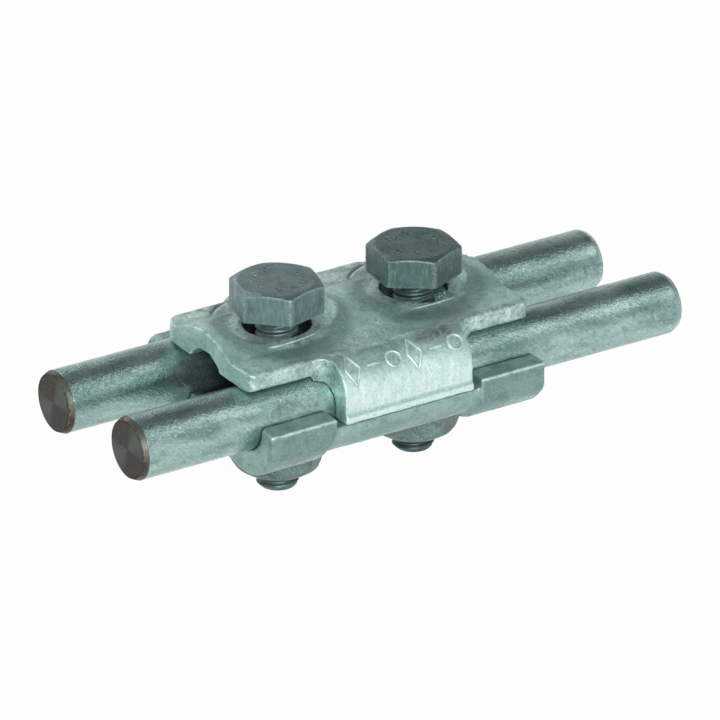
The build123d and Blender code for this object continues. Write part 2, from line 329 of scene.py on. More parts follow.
def tray_wear(tree, place, colour, dark):
    """The tray's web painted near-black as the deep shade between the bars, and its hooks' duller faces."""
    along, outward, split = split_place(tree, place)
    # Painted shade: the web between the bars goes near-black.
    web = both(tree, remap(tree, outward, *WEB_Y), remap(tree, split[2], *WEB_Z))
    web = both(tree, web, remap(tree, along, *WEB_X, 0.3, 1.0))
    colour = tint(tree, web, colour, PAINTED_SHADE)
    face = both(tree, remap(tree, along, *HOOK_FACE_X), remap(tree, outward, *HOOK_FACE_Y))
    high, low = HOOK_FACE_RISE
    face = both(tree, face, remap(tree, split[2], AXIS_Z + high, AXIS_Z + low, 0.0, 0.5))
    return tint(tree, face, colour, dark)


def rubbed_hooks(tree, place, mottle):
    """1 along the hooks' outer top edges, broken by the mottle."""
    front = near_line(tree, place, -HOOK_SIDE, AXIS_Z + HOOK_EDGE["front"], 0.42 * MM)
    rear = near_line(tree, place, HOOK_SIDE, AXIS_Z + HOOK_EDGE["rear"], 0.42 * MM)
    return both(tree, sum_of(tree, "MAXIMUM", front, rear), remap(tree, mottle, 0.36, 0.58, 0.2, 1.0))


def cast_zinc(name, tones, is_cap):
    """Hot-dip zinc over a casting: softly clouded, finely grained, brighter where it is rubbed."""
    dark, mid, light = tones
    material, tree, shader = new_material(name)
    place = put(tree, "ShaderNodeTexCoord").outputs["Object"]
    cloud = noise(tree, place, 5 * MM, 4.0, 0.6)
    mottle = noise(tree, place, 1.5 * MM, 4.0, 0.65, 3.0)
    grain = noise(tree, place, 0.42 * MM, 4.0, 0.6, 2.0)
    speck = noise(tree, place, 0.24 * MM, 1.0, 0.5, 5.0)
    edge = put(tree, "ShaderNodeNewGeometry").outputs["Pointiness"]
    colour = tint(tree, remap(tree, cloud, 0.35, 0.68), mid, light)
    colour = tint(tree, remap(tree, mottle, 0.50, 0.28, 0.0, 0.6), colour, dark)
    if is_cap:
        colour = cap_wear(tree, place, colour, mottle, grain, dark, mid)
    else:
        colour = tray_wear(tree, place, colour, dark)
    colour = tint(tree, remap(tree, grain, 0.45, 0.29, 0.0, 0.5), colour, dark)
    worn = both(tree, remap(tree, edge, 0.525, 0.61, 0.0, 0.75), remap(tree, grain, 0.40, 0.60, 0.1, 1.0))
    if not is_cap:
        worn = both(tree, worn, 0.45)
        colour = tint(tree, both(tree, rubbed_hooks(tree, place, mottle), 0.85), colour, ZINC_BRIGHT)
    colour = tint(tree, worn, colour, ZINC_BRIGHT)
    # Painted shade in creases and hollows, where the pointiness falls below flat.
    colour = tint(tree, remap(tree, edge, 0.480, 0.42, 0.0, 0.75), colour, dark)
    glint = 0.55 if is_cap else 0.3
    colour = tint(tree, remap(tree, speck, 0.60, 0.72, 0.0, glint), colour, ZINC_BRIGHT)
    normal = bump(tree, mottle, 0.35 * MM, 0.6)
    normal = bump(tree, grain, 0.10 * MM, 0.8, normal)
    normal = bump(tree, speck, 0.05 * MM, 0.8, normal)
    rough = remap(tree, grain, 0.3, 0.7, 0.56, 0.34)
    feed(tree, shader, {"Base Color": colour, "Roughness": rough, "Normal": normal, "Metallic": 0.6})
    return material


def zinc_bar():
    """Galvanised round bar: drawn grey zinc with fine slanting facets that glint, and a few pits."""
    dark, mid, light = BAR_TONES
    material, tree, shader = new_material("zinc_bar")
    place = put(tree, "ShaderNodeTexCoord").outputs["Object"]
    quarter = (0, math.radians(45), 0)
    turned = put(tree, "ShaderNodeMapping", {"Vector": place, "Rotation": quarter}).outputs[0]
    slanted = put(tree, "ShaderNodeMapping", {"Vector": turned, "Scale": (1.0, 0.8, 0.32)}).outputs[0]
    drawn = put(tree, "ShaderNodeMapping", {"Vector": place, "Scale": (0.3, 1.0, 1.0)}).outputs[0]
    cloud = noise(tree, drawn, 2.6 * MM, 4.0, 0.6)
    mottle = noise(tree, place, 0.9 * MM, 4.0, 0.65, 1.0)
    facet = noise(tree, slanted, 0.32 * MM, 3.0, 0.6, 2.0)
    pit = noise(tree, place, 1.1 * MM, 1.0, 0.5, 9.0)
    colour = tint(tree, remap(tree, cloud, 0.36, 0.66), mid, light)
    colour = tint(tree, remap(tree, mottle, 0.47, 0.30, 0.0, 0.5), colour, dark)
    colour = tint(tree, remap(tree, pit, 0.22, 0.16, 0.0, 0.8), colour, dark)
    colour = tint(tree, remap(tree, facet, 0.46, 0.32, 0.0, 0.3), colour, dark)
    colour = tint(tree, remap(tree, facet, 0.55, 0.72, 0.0, 0.55), colour, ZINC_BRIGHT)
    normal = bump(tree, facet, 0.09 * MM, 1.0, bump(tree, mottle, 0.08 * MM, 0.4))
    rough = remap(tree, facet, 0.3, 0.7, 0.30, 0.16)
    feed(tree, shader, {"Base Color": colour, "Roughness": rough, "Normal": normal, "Metallic": 0.85})
    return material


def cut_steel():
    """The turned ends of the bars: brownish bare steel with faint rings, a sheen and a lighter bevel."""
    material, tree, shader = new_material("cut_steel")
    place = put(tree, "ShaderNodeTexCoord").outputs["Object"]
    split = put(tree, "ShaderNodeSeparateXYZ", {0: place}).outputs
    axis_y = both(tree, sum_of(tree, "SIGN", split[1]), ROD_SIDE)
    across = sum_of(tree, "SUBTRACT", split[1], axis_y)
    level = sum_of(tree, "SUBTRACT", split[2], AXIS_Z)
    reach = sum_of(tree, "SQRT", sum_of(tree, "MULTIPLY_ADD", across, across, both(tree, level, level)))
    slant = sum_of(tree, "ABSOLUTE", sum_of(tree, "MULTIPLY_ADD", across, 0.8, both(tree, level, -0.6)))
    sheen = sum_of(tree, "DIVIDE", slant, sum_of(tree, "MAXIMUM", reach, 0.2 * MM))
    rings = noise(tree, put(tree, "ShaderNodeCombineXYZ", {0: reach}).outputs[0], 0.35 * MM, 2.0, 0.6)
    cloud = noise(tree, place, 2.5 * MM, 4.0, 0.6, 3.0)
    grain = noise(tree, place, 0.3 * MM, 3.0, 0.6, 5.0)
    ringed = both(tree, remap(tree, rings, 0.48, 0.72, 0.0, 0.35), cloud)
    colour = tint(tree, ringed, CUT_STEEL, CUT_LIGHT)
    colour = tint(tree, remap(tree, sheen, 0.70, 0.98, 0.0, 0.85), colour, CUT_COOL)
    colour = tint(tree, remap(tree, grain, 0.58, 0.72, 0.0, 0.5), colour, CUT_LIGHT)
    bevel = both(tree, remap(tree, reach, *CUT_BEVEL), remap(tree, cloud, 0.42, 0.62, 0.15, 0.8))
    colour = tint(tree, bevel, colour, CUT_LIGHT)
    normal = bump(tree, rings, 0.08 * MM, 0.8, bump(tree, grain, 0.08 * MM, 0.6))
    feed(tree, shader, {"Base Color": colour, "Normal": normal})
    feed(tree, shader, {"Metallic": 0.5, "Roughness": 0.45, "Specular IOR Level": 0.2})
    return material


def head_edges(tree, place, height, x):
    """1 along a hexagon head's corners and both rims of its flats, 0 elsewhere."""
    reach = distance_from(tree, place, (x, 0.0, 0.0), (1.0, 1.0, 0.0))
    fall = both(tree, sum_of(tree, "SUBTRACT", reach, CROWN_R), CROWN_SLOPE)
    below = sum_of(tree, "SUBTRACT", sum_of(tree, "SUBTRACT", HEAD_TOP, fall), height)
    top = band(tree, below, (0.02 * MM, 0.12 * MM, 0.2 * MM, 0.45 * MM))
    foot = remap(tree, height, HEAD_FOOT + 0.5 * MM, HEAD_FOOT + 0.15 * MM)
    rims = both(tree, sum_of(tree, "MAXIMUM", top, foot), remap(tree, reach, 6.25 * MM, 6.4 * MM))
    corners = remap(tree, reach, CORNER_R - 0.35 * MM, CORNER_R - 0.15 * MM)
    return sum_of(tree, "MAXIMUM", rims, corners)


def satin_zinc(name, tones, x=None):
    """Satin zinc: clouded, drawn upright, lighter on the edges of a bolt's head at x, dull at its end."""
    dark, mid, light = tones
    material, tree, shader = new_material(name)
    place = put(tree, "ShaderNodeTexCoord").outputs["Object"]
    cloud = noise(tree, place, 3 * MM, 4.0, 0.6)
    upright = put(tree, "ShaderNodeMapping", {"Vector": place, "Scale": (1.0, 1.0, 0.22)}).outputs[0]
    streak = noise(tree, upright, 0.45 * MM, 4.0, 0.6, 4.0)
    grain = noise(tree, place, 0.35 * MM, 3.0, 0.6, 7.0)
    colour = tint(tree, remap(tree, cloud, 0.45, 0.66, 0.0, 0.75), mid, dark)
    colour = tint(tree, remap(tree, streak, 0.48, 0.34, 0.0, 0.55), colour, dark)
    colour = tint(tree, remap(tree, streak, 0.54, 0.70, 0.0, 0.55), colour, light)
    colour = tint(tree, remap(tree, grain, 0.60, 0.74, 0.0, 0.4), colour, light)
    if x is not None:
        height = put(tree, "ShaderNodeSeparateXYZ", {0: place}).outputs[2]
        rubbed = both(tree, head_edges(tree, place, height, x), remap(tree, grain, 0.38, 0.62, 0.0, 0.65))
        colour = tint(tree, rubbed, colour, light)
        colour = tint(tree, remap(tree, height, NUT_FOOT + MM, NUT_FOOT, 0.0, 0.8), colour, dark)
    normal = bump(tree, grain, 0.05 * MM, 0.8, bump(tree, cloud, 0.3 * MM, 0.35))
    rough = remap(tree, cloud, 0.3, 0.7, 0.38, 0.52)
    feed(tree, shader, {"Base Color": colour, "Roughness": rough, "Normal": normal, "Metallic": 0.7})
    return material


# ------------------------------------------------------------------ geometry-node helpers
def new_tree(name, sizes, takes_mesh=True):
    """A geometry tree with named inputs for its sizes; returns the tree and its input node."""
    tree = bpy.data.node_groups.new(name, "GeometryNodeTree")
    if takes_mesh:
        tree.interface.new_socket("Geometry", in_out="INPUT", socket_type="NodeSocketGeometry")
    for label, value in sizes.items():
        socket = tree.interface.new_socket(label, in_out="INPUT", socket_type="NodeSocketFloat")
        socket.default_value = value
    tree.interface.new_socket("Finish", in_out="INPUT", socket_type="NodeSocketMaterial")
    tree.interface.new_socket("Geometry", in_out="OUTPUT", socket_type="NodeSocketGeometry")
    return tree, tree.nodes.new("NodeGroupInput")


def close_tree(tree, shape, finish):
    """Ends a tree in Realize Instances and Set Material."""
    whole = put(tree, "GeometryNodeRealizeInstances", {"Geometry": shape}).outputs[0]
    dressed = put(tree, "GeometryNodeSetMaterial", {"Geometry": whole, "Material": finish}).outputs[0]
    put(tree, "NodeGroupOutput", {0: dressed})


def grow(piece, tree, values):
    """Puts a tree on a piece as a modifier, with its inputs set by their identifiers."""
    modifier = piece.modifiers.new(tree.name, "NODES")
    modifier.node_group = tree
    for socket in tree.interface.items_tree:
        if socket.in_out == "INPUT" and socket.name in values:
            modifier[socket.identifier] = values[socket.name]
    return modifier


def settle(piece):
    """Applies every modifier through the evaluated object and leaves a plain mesh."""
    depsgraph = bpy.context.evaluated_depsgraph_get()
    mesh = bpy.data.meshes.new_from_object(piece.evaluated_get(depsgraph), depsgraph=depsgraph)
    piece.modifiers.clear()
    old = piece.data
    piece.data = mesh
    bpy.data.meshes.remove(old)
    mesh.name = piece.name
    for polygon in mesh.polygons:
        polygon.use_smooth = True
    return piece


def new_piece(name, mesh=None):
    """An object at the origin, linked to the scene."""
    piece = bpy.data.objects.new(name, mesh or bpy.data.meshes.new(name))
    bpy.context.scene.collection.objects.link(piece)
    return piece


def merged_copy(node):
    """A CAD node's mesh as a bmesh, with its loose triangles joined."""
    form = bmesh.new()
    form.from_mesh(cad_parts[node].data)
    bmesh.ops.remove_doubles(form, verts=form.verts, dist=0.002 * MM)
    return form


def into_mesh(form, name):
    """Closes a bmesh into a mesh."""
    mesh = bpy.data.meshes.new(name)
    form.to_mesh(mesh)
    form.free()
    return mesh


def joined(name, pieces):
    """Joins settled pieces into one mesh, keeping their materials."""
    slots = []
    form = bmesh.new()
    for piece in pieces:
        start = len(form.faces)
        form.from_mesh(piece.data)
        form.faces.ensure_lookup_table()
        for face in form.faces[start:]:
            material = piece.data.materials[face.material_index]
            if material not in slots:
                slots.append(material)
            face.material_index = slots.index(material)
            face.smooth = True
        bpy.data.objects.remove(piece)
    mesh = into_mesh(form, name)
    for material in slots:
        mesh.materials.append(material)
    return new_piece(name, mesh)


# ------------------------------------------------------------------ geometry trees
def own_place(tree):
    """X, Y and Z of each point of the geometry."""
    position = put(tree, "GeometryNodeInputPosition").outputs[0]
    return put(tree, "ShaderNodeSeparateXYZ", {0: position}).outputs


def skin_tree():
    """Moves a surface in and out by two sizes of noise, as sand casting and zinc leave it."""
    sizes = {"Lump Height": 0.0, "Lump Size": MM, "Grain Height": 0.0, "Grain Size": MM, "Seed": 0.0}
    tree, given = new_tree("cast_skin", sizes)
    place = put(tree, "GeometryNodeInputPosition").outputs[0]
    shift = None
    for kind in ("Lump", "Grain"):
        scale = sum_of(tree, "DIVIDE", 1.0, given.outputs[kind + " Size"])
        feeds = {"Vector": place, "Scale": scale, "Detail": 2.0, "W": given.outputs["Seed"]}
        wave = put(tree, "ShaderNodeTexNoise", feeds, noise_dimensions="4D").outputs[0]
        wave = sum_of(tree, "MULTIPLY", sum_of(tree, "SUBTRACT", wave, 0.5), 2.0)
        wave = sum_of(tree, "MULTIPLY", wave, given.outputs[kind + " Height"])
        shift = wave if shift is None else sum_of(tree, "ADD", shift, wave)
    normal = put(tree, "GeometryNodeInputNormal").outputs[0]
    offset = put(tree, "ShaderNodeVectorMath", {0: normal, "Scale": shift}, operation="SCALE").outputs[0]
    moved = put(tree, "GeometryNodeSetPosition", {"Geometry": given.outputs["Geometry"], "Offset": offset})
    close_tree(tree, moved.outputs[0], given.outputs["Finish"])
    return tree


def thread_tree():
    """A right-hand V thread on an upright rod, full in the nut and worn down outside it."""
    sizes = {
        "Radius": 4 * MM, "Neck": MM, "Grip Start": MM, "Grip End": MM, "Pitch": MM, "Depth": MM,
        "Length": 10 * MM, "End Chamfer": MM, "Axis X": 0.0,
    }
    tree, given = new_tree("metric_thread", sizes, takes_mesh=False)
    length = given.outputs["Length"]
    rows = sum_of(tree, "MULTIPLY", sum_of(tree, "DIVIDE", length, given.outputs["Pitch"]), THREAD_ROWS)
    feeds = {"Vertices": THREAD_SIDES, "Side Segments": rows, "Radius": 1.0, "Depth": length}
    blank = put(tree, "GeometryNodeMeshCylinder", feeds, fill_type="NGON").outputs["Mesh"]
    across, deep, raw = own_place(tree)
    height = sum_of(tree, "ADD", raw, sum_of(tree, "DIVIDE", length, 2.0))
    angle = sum_of(tree, "ARCTAN2", deep, across)
    turns = sum_of(tree, "DIVIDE", height, given.outputs["Pitch"])
    phase = sum_of(tree, "SUBTRACT", turns, sum_of(tree, "DIVIDE", angle, math.tau))
    flank = remap(tree, sum_of(tree, "PINGPONG", phase, 0.5), *THREAD_FLANKS)
    below = sum_of(tree, "SUBTRACT", given.outputs["Grip Start"], height)
    above = sum_of(tree, "SUBTRACT", height, given.outputs["Grip End"])
    outside = remap(tree, sum_of(tree, "MAXIMUM", below, above), 0.0, THREAD_RUN_OUT)
    crest = sum_of(tree, "SUBTRACT", given.outputs["Radius"], both(tree, outside, given.outputs["Neck"]))
    radius = sum_of(tree, "SUBTRACT", crest, sum_of(tree, "MULTIPLY", flank, given.outputs["Depth"]))
    tip = sum_of(tree, "SUBTRACT", crest, given.outputs["End Chamfer"])
    radius = sum_of(tree, "MINIMUM", radius, sum_of(tree, "ADD", tip, height))
    turned = put(
        tree, "ShaderNodeCombineXYZ",
        {0: sum_of(tree, "MULTIPLY_ADD", sum_of(tree, "COSINE", angle), radius, given.outputs["Axis X"]),
         1: sum_of(tree, "MULTIPLY", sum_of(tree, "SINE", angle), radius), 2: height},
    ).outputs[0]
    cut = put(tree, "GeometryNodeSetPosition", {"Geometry": blank, "Position": turned}).outputs[0]
    close_tree(tree, cut, given.outputs["Finish"])
    return tree


def bar_tree():
    """A round bar along X with chamfered ends, the right one's chamfer under its uneven zinc skin."""
    sizes = {
        "Radius": 5 * MM, "Length": 0.1, "Step": MM, "Chamfer": MM, "Bevel": MM, "Lump Height": 0.0,
        "Lump Size": MM, "Start X": 0.0, "Axis Y": 0.0, "Axis Z": 0.0, "Seed": 0.0,
    }
    tree, given = new_tree("zinc_bar", sizes, takes_mesh=False)
    tree.interface.new_socket("End Finish", in_out="INPUT", socket_type="NodeSocketMaterial")
    rows = sum_of(tree, "DIVIDE", given.outputs["Length"], given.outputs["Step"])
    feeds = {
        "Vertices": ROD_SIDES, "Side Segments": rows, "Fill Segments": 12, "Radius": given.outputs["Radius"],
        "Depth": given.outputs["Length"],
    }
    rod = put(tree, "GeometryNodeMeshCylinder", feeds, fill_type="TRIANGLE_FAN")
    across, deep, raw = own_place(tree)
    station = sum_of(tree, "ADD", raw, sum_of(tree, "DIVIDE", given.outputs["Length"], 2.0))
    left = sum_of(tree, "SUBTRACT", given.outputs["Length"], station)
    near_end = sum_of(tree, "MINIMUM", station, left)
    flat = put(tree, "ShaderNodeCombineXYZ", {0: across, 1: deep}).outputs[0]
    reach = put(tree, "ShaderNodeVectorMath", {0: flat}, operation="LENGTH").outputs["Value"]
    wave = put(
        tree, "ShaderNodeTexNoise",
        {"Vector": put(tree, "GeometryNodeInputPosition").outputs[0],
         "Scale": sum_of(tree, "DIVIDE", 1.0, given.outputs["Lump Size"]), "Detail": 3.0,
         "W": given.outputs["Seed"]},
        noise_dimensions="4D",
    ).outputs[0]
    wave = sum_of(tree, "MULTIPLY", sum_of(tree, "SUBTRACT", wave, 0.5), given.outputs["Lump Height"])
    allowed = sum_of(tree, "SUBTRACT", given.outputs["Radius"], given.outputs["Chamfer"])
    slope = sum_of(tree, "DIVIDE", given.outputs["Chamfer"], given.outputs["Bevel"])
    allowed = sum_of(tree, "MULTIPLY_ADD", near_end, slope, allowed)
    wanted = sum_of(tree, "MINIMUM", sum_of(tree, "ADD", reach, wave), allowed)
    ratio = sum_of(tree, "DIVIDE", wanted, sum_of(tree, "MAXIMUM", reach, 0.001 * MM))
    placed = put(
        tree, "ShaderNodeCombineXYZ",
        {0: sum_of(tree, "ADD", station, given.outputs["Start X"]),
         1: sum_of(tree, "MULTIPLY_ADD", across, ratio, given.outputs["Axis Y"]),
         2: sum_of(tree, "MULTIPLY_ADD", deep, ratio, given.outputs["Axis Z"])},
    ).outputs[0]
    feeds = {"Geometry": rod.outputs["Mesh"], "Position": placed}
    shaped = put(tree, "GeometryNodeSetPosition", feeds).outputs[0]
    whole = put(tree, "GeometryNodeRealizeInstances", {"Geometry": shaped}).outputs[0]
    feeds = {"Geometry": whole, "Material": given.outputs["Finish"]}
    side = put(tree, "GeometryNodeSetMaterial", feeds).outputs[0]
    station = sum_of(tree, "SUBTRACT", own_place(tree)[0], given.outputs["Start X"])
    left = sum_of(tree, "SUBTRACT", given.outputs["Length"], station)
    left = sum_of(tree, "MULTIPLY_ADD", given.outputs["Bevel"], BEVEL_IN_ZINC, left)
    near_end = sum_of(tree, "MINIMUM", station, left)
    feeds = {0: near_end, 1: given.outputs["Bevel"]}
    is_end = put(tree, "FunctionNodeCompare", feeds, operation="LESS_THAN").outputs[0]
    feeds = {"Geometry": side, "Selection": is_end, "Material": given.outputs["End Finish"]}
    ends = put(tree, "GeometryNodeSetMaterial", feeds).outputs[0]
    put(tree, "NodeGroupOutput", {0: ends})
    return tree


def stroke(tree, outline, shape_scale, thickness):
    """A raised line along a flat outline, as a mesh tube."""
    sized = put(tree, "GeometryNodeTransform", {"Geometry": outline, "Scale": shape_scale}).outputs[0]
    even = put(tree, "GeometryNodeResampleCurve", {"Curve": sized, "Count": 40}).outputs[0]
    nib = put(tree, "GeometryNodeCurvePrimitiveCircle", {"Resolution": 8, "Radius": thickness}).outputs[0]
    feeds = {"Curve": even, "Profile Curve": nib, "Fill Caps": True}
    return put(tree, "GeometryNodeCurveToMesh", feeds).outputs[0]


def row_of_marks(tree, given, points, turn):
    """A ring, a dash and a lozenge repeated along points, as plain raised signs."""
    half_wide, half_tall = given.outputs["Half Width"], given.outputs["Half Height"]
    tall = put(tree, "ShaderNodeCombineXYZ", {0: half_wide, 1: half_tall, 2: 1.0}).outputs[0]
    even = put(tree, "ShaderNodeCombineXYZ", {0: half_wide, 1: half_wide, 2: 1.0}).outputs[0]
    ring = put(tree, "GeometryNodeCurvePrimitiveCircle", {"Resolution": 32, "Radius": 1.0}).outputs[0]
    dash = put(tree, "GeometryNodeCurvePrimitiveLine", {"Start": (-0.9, 0, 0), "End": (0.9, 0, 0)}).outputs[0]
    lozenge = put(tree, "GeometryNodeCurvePrimitiveCircle", {"Resolution": 4, "Radius": 1.0}).outputs[0]
    signs = tree.nodes.new("GeometryNodeGeometryToInstance")
    for outline, scale in ((ring, even), (dash, even), (lozenge, tall)):
        tree.links.new(stroke(tree, outline, scale, given.outputs["Stroke"]), signs.inputs[0])
    order = put(tree, "GeometryNodeInputIndex").outputs[0]
    placed = put(
        tree, "GeometryNodeInstanceOnPoints",
        {"Points": points, "Instance": signs.outputs[0], "Pick Instance": True, "Rotation": turn,
         "Instance Index": sum_of(tree, "MODULO", order, 3.0)},
    ).outputs[0]
    return put(tree, "GeometryNodeRealizeInstances", {"Geometry": placed}).outputs[0]


def shoulder_marks_tree():
    """A row of raised marks wrapped round the front shoulder of the cap."""
    sizes = {
        "Count": 6.0, "Pitch": MM, "Start X": 0.0, "Down": 0.0, "Half Width": MM, "Half Height": MM,
        "Stroke": MM, "Bend Radius": MM, "Axis Y": 0.0, "Axis Z": 0.0,
    }
    tree, given = new_tree("shoulder_marks", sizes, takes_mesh=False)
    feeds = {0: given.outputs["Start X"], 1: given.outputs["Down"]}
    start = put(tree, "ShaderNodeCombineXYZ", feeds).outputs[0]
    pitch = put(tree, "ShaderNodeCombineXYZ", {0: given.outputs["Pitch"]}).outputs[0]
    feeds = {"Count": given.outputs["Count"], "Start Location": start, "Offset": pitch}
    points = put(tree, "GeometryNodeMeshLine", feeds).outputs[0]
    none = put(tree, "FunctionNodeEulerToRotation").outputs[0]
    flat = row_of_marks(tree, given, points, none)
    along, down, proud = own_place(tree)
    angle = sum_of(tree, "DIVIDE", down, given.outputs["Bend Radius"])
    reach = sum_of(tree, "ADD", given.outputs["Bend Radius"], proud)
    back = sum_of(tree, "MULTIPLY", reach, sum_of(tree, "SINE", angle))
    bent = put(
        tree, "ShaderNodeCombineXYZ",
        {0: along, 1: sum_of(tree, "SUBTRACT", given.outputs["Axis Y"], back),
         2: sum_of(tree, "MULTIPLY_ADD", reach, sum_of(tree, "COSINE", angle), given.outputs["Axis Z"])},
    ).outputs[0]
    wrapped = put(tree, "GeometryNodeSetPosition", {"Geometry": flat, "Position": bent}).outputs[0]
    close_tree(tree, wrapped, given.outputs["Finish"])
    return tree


def head_marks_tree():
    """A ring of small raised marks on top of a bolt head."""
    sizes = {
        "Count": 9.0, "Ring Radius": MM, "Half Width": MM, "Half Height": MM, "Stroke": MM,
        "Axis X": 0.0, "Top Z": 0.0,
    }
    tree, given = new_tree("head_marks", sizes, takes_mesh=False)
    feeds = {"Vertices": given.outputs["Count"], "Radius": given.outputs["Ring Radius"]}
    points = put(tree, "GeometryNodeMeshCircle", feeds).outputs[0]
    order = put(tree, "GeometryNodeInputIndex").outputs[0]
    step = sum_of(tree, "DIVIDE", math.tau, given.outputs["Count"])
    angle = sum_of(tree, "MULTIPLY_ADD", order, step, math.radians(90))
    spin = put(tree, "ShaderNodeCombineXYZ", {2: angle}).outputs[0]
    turn = put(tree, "FunctionNodeEulerToRotation", {0: spin}).outputs[0]
    ring = row_of_marks(tree, given, points, turn)
    feeds = {0: given.outputs["Axis X"], 2: given.outputs["Top Z"]}
    place = put(tree, "ShaderNodeCombineXYZ", feeds).outputs[0]
    moved = put(tree, "GeometryNodeTransform", {"Geometry": ring, "Translation": place}).outputs[0]
    close_tree(tree, moved, given.outputs["Finish"])
    return tree


# ------------------------------------------------------------------ pieces
def remeshed(name, form, voxel, skin, values, smooth):
    """A solid turned into an even mesh, softened and given its cast or forged skin."""
    piece = new_piece(name, into_mesh(form, name))
    even = piece.modifiers.new("even", "REMESH")
    even.mode = "VOXEL"
    even.voxel_size = voxel
    soft = piece.modifiers.new("soft", "SMOOTH")
    soft.factor = 0.5
    soft.iterations = smooth
    grow(piece, skin, values)
    return settle(piece)


def lip_tree():
    """A thin raised lip along a gentle bend through three points, fading out at both ends."""
    sizes = {"Radius": MM}
    tree, given = new_tree("seat_lip", sizes, takes_mesh=False)
    for label in LIP_POINTS:
        tree.interface.new_socket(label, in_out="INPUT", socket_type="NodeSocketVector")
    feeds = {label: given.outputs[label] for label in LIP_POINTS}
    bend = put(tree, "GeometryNodeCurveQuadraticBezier", {"Resolution": 40, **feeds}).outputs[0]
    along = put(tree, "GeometryNodeSplineParameter").outputs["Factor"]
    rise = sum_of(tree, "SINE", sum_of(tree, "MULTIPLY", along, math.pi))
    wave = noise(tree, put(tree, "GeometryNodeInputPosition").outputs[0], 1.2 * MM, 2.0)
    girth = both(tree, sum_of(tree, "POWER", rise, 0.4), remap(tree, wave, 0.3, 0.7, 0.55, 1.2))
    thick = put(tree, "GeometryNodeSetCurveRadius", {"Curve": bend, "Radius": girth}).outputs[0]
    feeds = {"Resolution": 8, "Radius": given.outputs["Radius"]}
    nib = put(tree, "GeometryNodeCurvePrimitiveCircle", feeds).outputs[0]
    feeds = {"Curve": thick, "Profile Curve": nib, "Fill Caps": True, "Scale": girth}
    tube = put(tree, "GeometryNodeCurveToMesh", feeds).outputs[0]
    close_tree(tree, tube, given.outputs["Finish"])
    return tree


def scar(piece, x):
    """Presses a thin arc beside one bolt into the rear wing."""
    start, end = (math.radians(turn) for turn in SCAR_TURN)
    for vertex in piece.data.vertices:
        across, deep = vertex.co.x - x - SCAR_PLACE[0], vertex.co.y - SCAR_PLACE[1]
        angle = math.atan2(deep, across)
        off = abs(math.hypot(across, deep) - SCAR_R)
        if vertex.co.z > AXIS_Z + SHOULDER_R and start < angle < end and off < SCAR_WIDTH:
            fade = math.sin(math.pi * (end - angle) / (end - start))
            vertex.co.z -= SCAR_DEPTH * fade * (1.0 - off / SCAR_WIDTH)


def slope_left_hook(form):
    """Slopes the inner side of the front left hook, as its mould's draft leaves it."""
    for vertex in form.verts:
        outward = ROD_FRONT - vertex.co.y
        drop = AXIS_Z + HOOK_EDGE["front"] - vertex.co.z
        reach = math.hypot(outward, vertex.co.z - AXIS_Z)
        proud = max(outward - (HOOK_SIDE - ROD_SIDE), reach - BELLY_R)
        on_side = abs(vertex.co.x + HOOK_INNER) < 0.05 * MM and drop > -0.2 * MM
        if on_side and outward > 0 and proud > -0.3 * MM:
            vertex.co.x += HOOK_FLARE - HOOK_SLOPE * min(drop, HOOK_FOOT)


def casting(half, form, skin, finish):
    """One casting, from its merged CAD solid, with its skin of lumps and grain."""
    values = {
        "Lump Height": 0.12 * MM, "Lump Size": 4.0 * MM, "Grain Height": 0.07 * MM, "Grain Size": 1.1 * MM,
        "Seed": SEEDS[half], "Finish": finish,
    }
    return remeshed(half + "_casting", form, CAST_VOXEL, skin, values, 3)


def tray(skin, finish):
    """The lower casting."""
    form = merged_copy("lower_clamp")
    slope_left_hook(form)
    return casting("lower", form, skin, finish)


def cap(skin, marks, lip, finish, rubbed):
    """The upper casting with its tool scars, the lips at its holes and its row of raised marks."""
    body = casting("upper", merged_copy("upper_clamp"), skin, finish)
    pieces = [body]
    for side, x in BOLT_X.items():
        scar(body, x)
        edge = new_piece(side + "_lip")
        points = [(x + a * MM, b * MM, AXIS_Z + c * MM) for a, b, c in LIPS[side]]
        values = dict(zip(LIP_POINTS, points), Radius=LIP_R, Finish=rubbed)
        grow(edge, lip, values)
        pieces.append(settle(edge))
    row = new_piece("shoulder_row")
    grow(row, marks, {
        "Count": 6.0, "Pitch": MARK_PITCH, "Start X": MARK_START, "Down": MARK_CENTRE,
        "Half Width": 1.25 * MM, "Half Height": 2.6 * MM, "Stroke": 0.24 * MM,
        "Bend Radius": SHOULDER_R + 0.05 * MM, "Axis Y": SHOULDER_Y, "Axis Z": AXIS_Z + SHOULDER_RISE,
        "Finish": rubbed,
    })
    return joined("upper_casting", pieces + [settle(row)])


